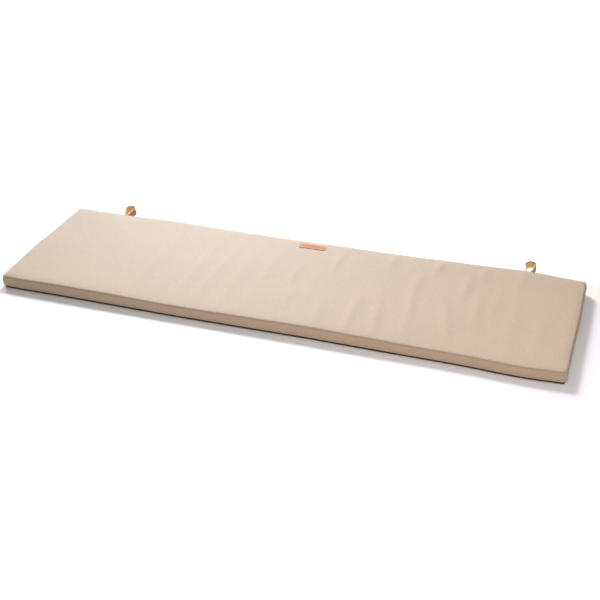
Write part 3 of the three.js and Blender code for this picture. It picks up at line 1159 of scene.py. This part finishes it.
def strap_leather(name, outer_tone, inner_tone, edge_tone):
    material, tree, shader = new_material(name)
    hide = placed_group(tree, grain, object_place(tree), Cells_per_metre=1300.0)
    hide_tone = hide.outputs["Tone"]
    grained = mixed(tree, hide_tone, *(toned(colour, outer_tone) for colour in GRAIN_BROWN))
    flesh = mixed(tree, hide_tone, *(toned(colour, inner_tone) for colour in FLESH_TAN))
    outside = math_node(tree, "GREATER_THAN", vertex_number(tree, "face_side"), 0.0)
    faces = mixed(tree, outside, flesh, grained)
    from_end = math_node(tree, "SUBTRACT", vertex_number(tree, "along"), path_length / 2)
    # painted highlight: edges pale along the legs, dark round the far end
    highlight = faded(tree, math_node(tree, "ABSOLUTE", from_end), HIGHLIGHT_FROM, HIGHLIGHT_FULL)
    edge_colour = mixed(tree, highlight, EDGE_DARK, toned(EDGE_HIGHLIGHT, edge_tone))
    from_middle = math_node(tree, "ABSOLUTE", vertex_number(tree, "across"))
    edge = faded(tree, from_middle, EDGE_FROM, EDGE_FULL)
    tree.links.new(mixed(tree, edge, faces, edge_colour), shader.inputs["Base Color"])
    uneven_roughness(tree, shader, edge, base=0.62, swing=-0.25)
    bumped(tree, shader, hide.outputs["Height"], distance=0.0001, strength=0.5)
    return material


for side, strap in straps.items():
    loop_leather = strap_leather("painted_light_loop_leather_" + side, *PAINTED_STRAP_LIGHT[side])
    strap.data.materials.append(loop_leather)
    print("strap leather:", loop_leather.name)

# %% [markdown]
# The rivets show only as two small dots, so their metal is a guess: dull, coppered heads with
# soft, uneven roughness.

# %% Rivet material
COPPER = ((0.20, 0.062, 0.015), (0.40, 0.140, 0.038))

rivet_copper, tree, shader = new_material("rivet_copper")
wear = placed_group(tree, grain, object_place(tree), Cells_per_metre=2500.0)
copper_tone = mixed(tree, wear.outputs["Tone"], *COPPER)
tree.links.new(copper_tone, shader.inputs["Base Color"])
shader.inputs["Metallic"].default_value = 1.0
uneven_roughness(tree, shader, wear.outputs["Tone"], base=0.28, swing=0.25)
for piece in rivets:
    piece.data.materials.append(rivet_copper)
print("rivet metal:", rivet_copper.name, "on", len(rivets), "heads")

# %% [markdown]
# Studio. A plain pale floor takes the shadows. Away from the cushion it also glows, but for the
# camera alone: it looks as white as the paper in the photograph and lights nothing. The glow
# starts a little nearer for blue than for red, because the key light on the floor is warm, and
# nearer at the left end, which faces the light and throws no shadow outwards.

# %% Floor
GLOW_STARTS = {"Red": 0.09, "Green": 0.060, "Blue": 0.030}
GLOW_FULL = 0.20
GLOW_STRENGTH = 0.95
LEFT_GLOW = 0.06
FLOOR_HALF = 15.0
FLOOR_DROP = 0.0004
FLOOR_WHITE = (0.96, 0.965, 0.98, 1)

ground = bmesh.new()
bmesh.ops.create_grid(ground, x_segments=1, y_segments=1, size=FLOOR_HALF)
bmesh.ops.translate(ground, vec=(0, 0, -FLOOR_DROP), verts=ground.verts)
floor_mesh = bpy.data.meshes.new("studio_floor")
ground.to_mesh(floor_mesh)
ground.free()
floor = new_object("studio_floor", floor_mesh)
floor_paint, tree, shader = new_material("floor_paint")
shader.inputs["Base Color"].default_value = FLOOR_WHITE
shader.inputs["Roughness"].default_value = 0.9
shader.inputs["Specular IOR Level"].default_value = 0.1
shader.inputs["Emission Strength"].default_value = GLOW_STRENGTH
spots = split_place(tree, object_place(tree))
off_x = math_node(tree, "SUBTRACT", math_node(tree, "ABSOLUTE", spots["X"]), LENGTH / 2)
off_y = math_node(tree, "SUBTRACT", math_node(tree, "ABSOLUTE", spots["Y"]), DEPTH / 2)
off_left = math_node(tree, "SUBTRACT", LEFT_GLOW - LENGTH / 2, spots["X"])
outside = math_node(tree, "MAXIMUM", math_node(tree, "MAXIMUM", off_x, off_y), off_left)
seen = tree.nodes.new("ShaderNodeLightPath").outputs["Is Camera Ray"]
glow = tree.nodes.new("ShaderNodeCombineColor")
for channel, start in GLOW_STARTS.items():
    share = faded(tree, outside, start, GLOW_FULL)
    tree.links.new(math_node(tree, "MULTIPLY", share, seen), glow.inputs[channel])
tree.links.new(glow.outputs["Color"], shader.inputs["Emission Color"])
floor_mesh.materials.append(floor_paint)
print("floor is", 2 * FLOOR_HALF, "m wide, in", floor_paint.name)

# %% [markdown]
# Light. A low warm key from the back left grazes the ridges and leaves the front in shade. A
# cool window box behind the cushion lights its top and fades towards the right end, and two
# weak boxes in front keep the boxing readable. Their places and strengths were fitted to the
# brightness of the photograph, together with the colours of the cloth.

# %% Lights
KEY_TRAVEL = Vector((0.56, -0.61, -0.51))
KEY_ENERGY = 1.90
KEY_SOFTNESS = 25
KEY_COLOUR = (1.0, 0.635, 0.16)


def aimed(light_data, place, direction):
    lamp = new_object(light_data.name, light_data)
    lamp.location = place
    lamp.rotation_euler = direction.to_track_quat("-Z", "Y").to_euler()


# Each box: name, place, aim, size, spread in degrees, energy and colour
SOFT_BOXES = (
    ("window_box", (-0.69, 1.18, 1.55), (-0.15, -0.26, 0), 0.52, 104, 16.7, (0.673, 0.818, 1.0)),
    ("low_front_box", (1.0, -2.4, 0.45), (0.2, -0.22, 0), 0.8, 90, 3.4, (1.0, 0.716, 0.425)),
    ("high_front_box", (1.2, -1.6, 1.6), (0.4, -0.22, 0), 0.8, 90, 4.0, (0.943, 0.969, 1.0)),
)


def soft_box(name, place, aim, size, spread, energy, colour):
    data = bpy.data.lights.new(name, "AREA")
    data.size = size
    data.spread = math.radians(spread)
    data.energy = energy
    data.color = colour
    aimed(data, place, Vector(aim) - Vector(place))


key_data = bpy.data.lights.new("key_light", "SUN")
key_data.energy = KEY_ENERGY
key_data.angle = math.radians(KEY_SOFTNESS)
key_data.color = KEY_COLOUR
aimed(key_data, (0, 0, 3), KEY_TRAVEL)
for box in SOFT_BOXES:
    soft_box(*box)
print("key light travels", tuple(round(value, 2) for value in KEY_TRAVEL))

# %% [markdown]
# The sky lights everything evenly and weakly. The camera alone sees it brighter, so that the
# background is white. Light Path tells a camera ray from the rays that carry light.

# %% Sky
SKY_COLOUR = (1.0, 0.96, 0.942, 1)
SKY_FILL = 0.329
SKY_SEEN_EXTRA = 0.75

sky = bpy.data.worlds.new("studio_sky")
sky.use_nodes = True
backdrop = sky.node_tree.nodes["Background"]
backdrop.inputs["Color"].default_value = SKY_COLOUR
seen = sky.node_tree.nodes.new("ShaderNodeLightPath").outputs["Is Camera Ray"]
fill = math_node(sky.node_tree, "MULTIPLY_ADD", seen, SKY_SEEN_EXTRA, SKY_FILL)
sky.node_tree.links.new(fill, backdrop.inputs["Strength"])
bpy.context.scene.world = sky
bpy.context.scene.view_settings.view_transform = "Standard"
print("sky fill", SKY_FILL, "and", round(SKY_FILL + SKY_SEEN_EXTRA, 3), "to the camera")
